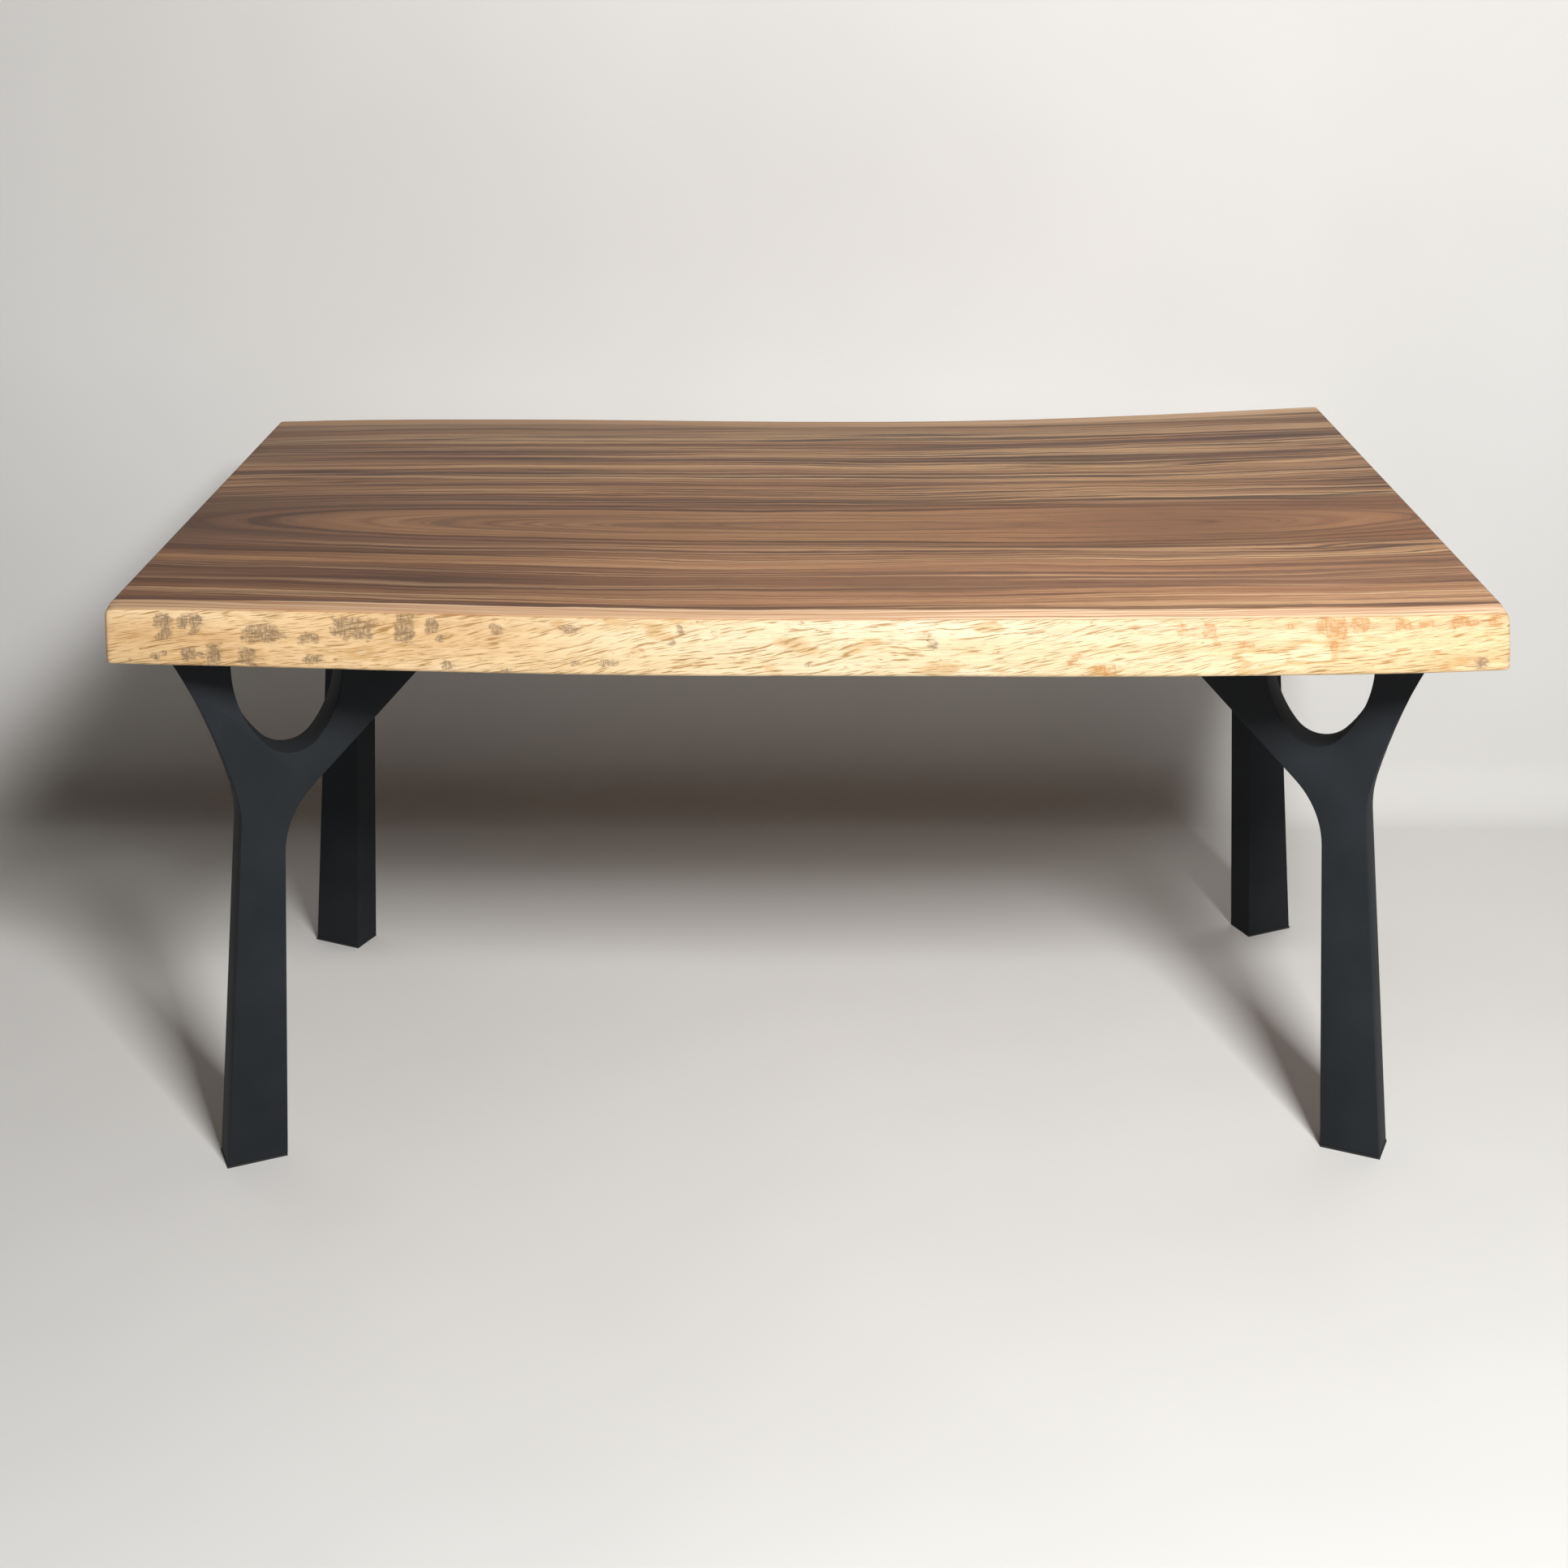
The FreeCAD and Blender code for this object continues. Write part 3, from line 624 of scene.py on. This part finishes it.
# Bolts, washers and screws: black oxide steel, which is dark and half dull, with faint turning marks.
# The bolts hold the legs in the slots of their top plates, and the screws hold the channels.
turning_marks = (3, 3, 0.6)
smear_dullness = 0.2
oxide_dullness = 0.3
oxide = bpy.data.materials.new("black oxide steel")
tree = empty_tree(oxide)
place = node(tree, "TexCoord").outputs["Object"]
turned = node(tree, "Mapping", {"Vector": place, "Scale": per_metre(turning_marks)})
smear = node(tree, "TexNoise", {"Vector": turned, "Scale": 1.0, "Detail": 3.0})
tone = node(tree, "ValToRGB", {"Fac": smear}, stops=((0.3, "#232427"), (0.7, "#3A3B3E")))
dullness = node(tree, "Math", {0: smear, 1: smear_dullness, 2: oxide_dullness}, operation="MULTIPLY_ADD")
skin = node(tree, "BsdfPrincipled", {"Base Color": tone, "Metallic": 1.0, "Roughness": dullness})
node(tree, "OutputMaterial", {"Surface": skin})
dress([corner + "_leg_bolts" for corner in corners], oxide)
dress([corner + "_leg_washers" for corner in corners], oxide)
dress([half + "_channel_screws" for half in halves], oxide)

# Threaded sleeves: turned brass with fine rings from the lathe, driven into the slab's underside.
# The bolts of the legs run in them.
lathe_rings = (8, 8, 0.4)
lathe_dullness = 0.2
brass_dullness = 0.28
brass = bpy.data.materials.new("turned brass")
tree = empty_tree(brass)
place = node(tree, "TexCoord").outputs["Object"]
turned = node(tree, "Mapping", {"Vector": place, "Scale": per_metre(lathe_rings)})
lathe = node(tree, "TexNoise", {"Vector": turned, "Scale": 1.0, "Detail": 2.0})
tone = node(tree, "ValToRGB", {"Fac": lathe}, stops=((0.3, "#A5823F"), (0.7, "#C9A45C")))
dullness = node(tree, "Math", {0: lathe, 1: lathe_dullness, 2: brass_dullness}, operation="MULTIPLY_ADD")
skin = node(tree, "BsdfPrincipled", {"Base Color": tone, "Metallic": 1.0, "Roughness": dullness})
node(tree, "OutputMaterial", {"Surface": skin})
dress([corner + "_leg_sleeves" for corner in corners], brass)

# The studio: pale paper on the floor, and a sheet of it that turns up close behind the table and takes the
# slab's shadow. Both are clear from their back, so the table can be seen from behind and from below, and
# they fade out far from the table, where the lamp no longer reaches.
bend_place = 0.62
bend_radius = 0.09
bend_steps = 12
sheet_reach = 6.0
sheet_height = 2.6
floor_reach = 6.0
fade_start = 2.6
fade_end = 4.4
paper_mottle = 700 * mm
floor = bmesh.new()
bmesh.ops.create_grid(floor, x_segments=1, y_segments=1, size=floor_reach)
sheet = bmesh.new()
sheet_foot = [sheet.verts.new((x, bend_place, 0)) for x in (-sheet_reach, sheet_reach)]
foot_line = sheet.edges.new(sheet_foot)
bend_end = bmesh.ops.spin(sheet, geom=[*sheet_foot, foot_line], cent=(0, bend_place, bend_radius),
                          axis=(1, 0, 0), angle=math.pi / 2, steps=bend_steps)["geom_last"]
bend_line = [e for e in bend_end if isinstance(e, bmesh.types.BMEdge)]
upper_edge = bmesh.ops.extrude_edge_only(sheet, edges=bend_line)["geom"]
upper_verts = [v for v in upper_edge if isinstance(v, bmesh.types.BMVert)]
bmesh.ops.translate(sheet, vec=(0, 0, sheet_height - bend_radius), verts=upper_verts)
paper = bpy.data.materials.new("pale studio paper")
tree = empty_tree(paper)
place = node(tree, "TexCoord").outputs["Object"]
mottle = node(tree, "TexNoise", {"Vector": place, "Scale": 1 / paper_mottle, "Detail": 3.0})
tone = node(tree, "ValToRGB", {"Fac": mottle}, stops=((0.3, "#DDDCDA"), (0.7, "#E3E2E0")))
skin = node(tree, "BsdfPrincipled", {"Base Color": tone, "Roughness": 0.9, "Specular IOR Level": 0.2})
clear = node(tree, "BsdfTransparent")
from_back_side = node(tree, "NewGeometry").outputs["Backfacing"]
reach = node(tree, "VectorMath", {0: place}, operation="LENGTH")
fade = node(tree, "MapRange", {"Value": reach, "From Min": fade_start, "From Max": fade_end},
            interpolation_type="SMOOTHSTEP")
unseen = node(tree, "Math", {0: from_back_side, 1: fade}, operation="MAXIMUM")
shown = node(tree, "MixShader", {0: unseen, 1: skin, 2: clear})
node(tree, "OutputMaterial", {"Surface": shown})
for name, shape in (("studio_floor", floor), ("studio_backdrop", sheet)):
    stage_mesh = bpy.data.meshes.new(name)
    shape.to_mesh(stage_mesh)
    shape.free()
    stage_mesh.shade_smooth()
    stage_mesh.materials.append(paper)
    stage_piece = add_object(name, stage_mesh)

# A low even fill from all round, as warm as a room with wood in it. The camera and reflections see
# pale paper.
world = bpy.data.worlds.new("studio fill")
tree = empty_tree(world)
fill = node(tree, "Background", {"Color": srgb("#F0C8A8"), "Strength": 0.027})
seen = node(tree, "Background", {"Color": srgb("#E6E4DF"), "Strength": 1.0})
path = node(tree, "LightPath").outputs
in_view = node(tree, "Math", {0: path["Is Camera Ray"], 1: path["Is Glossy Ray"]}, operation="MAXIMUM")
in_view = node(tree, "Math", {0: in_view, 1: path["Is Transmission Ray"]}, operation="MAXIMUM")
shown = node(tree, "MixShader", {0: in_view, 1: fill, 2: seen})
node(tree, "OutputWorld", {"Surface": shown})
bpy.context.scene.world = world

# One softbox, high on the right beside the camera, so that the light falls off to the left and the shadows
# go back and to the left.
softbox = bpy.data.lights.new("softbox", "AREA")
softbox.shape = "SQUARE"
softbox.size = 0.65
softbox.energy = 150
softbox.color = srgb("#FFFFFE")[:3]
softbox_piece = add_object("softbox", softbox)
softbox_piece.location = (0.88, -2.7, 2.55)
softbox_target = Vector((0.0, 0.1, 0.9))
softbox_aim = softbox_target - softbox_piece.location
softbox_piece.rotation_euler = softbox_aim.to_track_quat("-Z", "Y").to_euler()

# The camera stands in front of the middle of the table, at the eye height of someone standing.
# The lens is shifted, as the photo's uprights look straightened.
camera = bpy.data.cameras.new("photo view")
camera.sensor_width = 36
camera.lens = 51.55
camera.shift_x = -0.017
camera.shift_y = -0.10
camera_piece = add_object("photo view", camera)
camera_piece.location = (0.0018, -2.9092, 1.5601)
camera_piece.rotation_euler = (math.radians(71.27), 0, math.radians(-0.105))
bpy.context.scene.camera = camera_piece
bpy.context.scene.view_settings.view_transform = "Standard"
